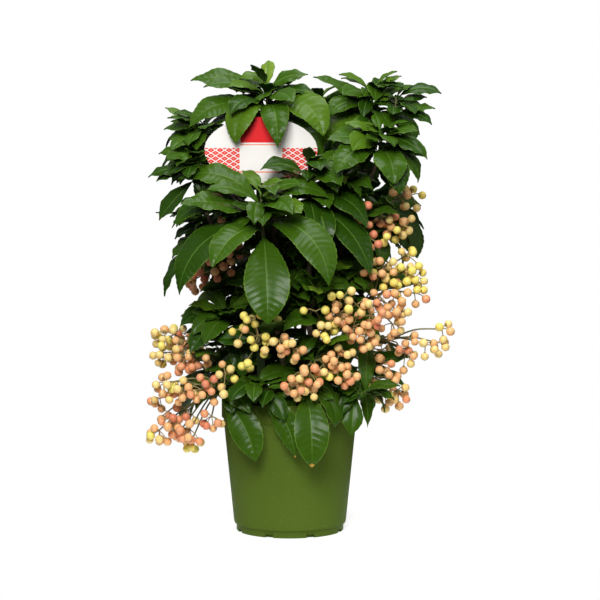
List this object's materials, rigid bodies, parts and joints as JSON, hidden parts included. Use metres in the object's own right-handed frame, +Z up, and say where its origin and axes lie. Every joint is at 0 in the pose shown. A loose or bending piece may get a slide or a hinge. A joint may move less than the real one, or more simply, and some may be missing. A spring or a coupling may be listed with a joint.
{
  "type": "potted coral ardisia",
  "caption": "Bushy coral ardisia with glossy crinkled leaves and sprays of peach and coral berries in a green growing pot",
  "frame": {"origin": "middle of the pot's flat underside", "axes": "+Z up along the pot's axis, -Y towards the side that the label faces, +X to that viewer's right"},
  "size_m": [0.2902, 0.2473, 0.4506],
  "materials": {
    "pot_plastic": "satin",
    "peat": "rough",
    "label_card": "satin",
    "bark": "rough",
    "foliage": "glossy"
  },
  "bodies": {
    "root": {"bough_back_right": "bark", "bough_far_right": "bark", "bough_left_front": "bark", "bough_right_front": "bark", "crown_back": "foliage", "crown_back_left": "foliage", "crown_back_low": "foliage", "crown_back_right": "foliage", "crown_centre": "foliage", "crown_far_right": "foliage", "crown_foot": "foliage", "crown_front": "foliage", "crown_front_right": "foliage", "crown_high_right": "foliage", "crown_inner_front": "foliage", "crown_inner_left": "foliage", "crown_inner_middle": "foliage", "crown_inner_right": "foliage", "crown_left": "foliage", "crown_left_front": "foliage", "crown_low_centre": "foliage", "crown_low_left": "foliage", "crown_low_right": "foliage", "crown_middle_left": "foliage", "crown_middle_right": "foliage", "crown_right": "foliage", "crown_right_front": "foliage", "fruit_back": "foliage", "fruit_back_high": "foliage", "fruit_back_left": "foliage", "fruit_back_left_high": "foliage", "fruit_back_right": "foliage", "fruit_front_left": "foliage", "fruit_front_right": "foliage", "fruit_left_inner": "foliage", "fruit_left_low": "foliage", "fruit_left_middle": "foliage", "fruit_left_top": "foliage", "fruit_right_front": "foliage", "fruit_right_high": "foliage", "fruit_right_low": "foliage", "fruit_right_middle": "foliage", "fruit_right_reach": "foliage", "fruit_right_top": "foliage", "plant_label": "label_card", "pot": "pot_plastic", "skirt_back": "foliage", "skirt_front": "foliage", "skirt_front_left": "foliage", "skirt_front_right": "foliage", "skirt_left": "foliage", "skirt_right": "foliage", "soil": "peat", "stem_back": "bark", "stem_back_left": "bark", "stem_centre": "bark", "stem_front": "bark", "stem_front_right": "bark", "stem_left": "bark", "stem_right": "bark"}
  },
  "joints": []
}
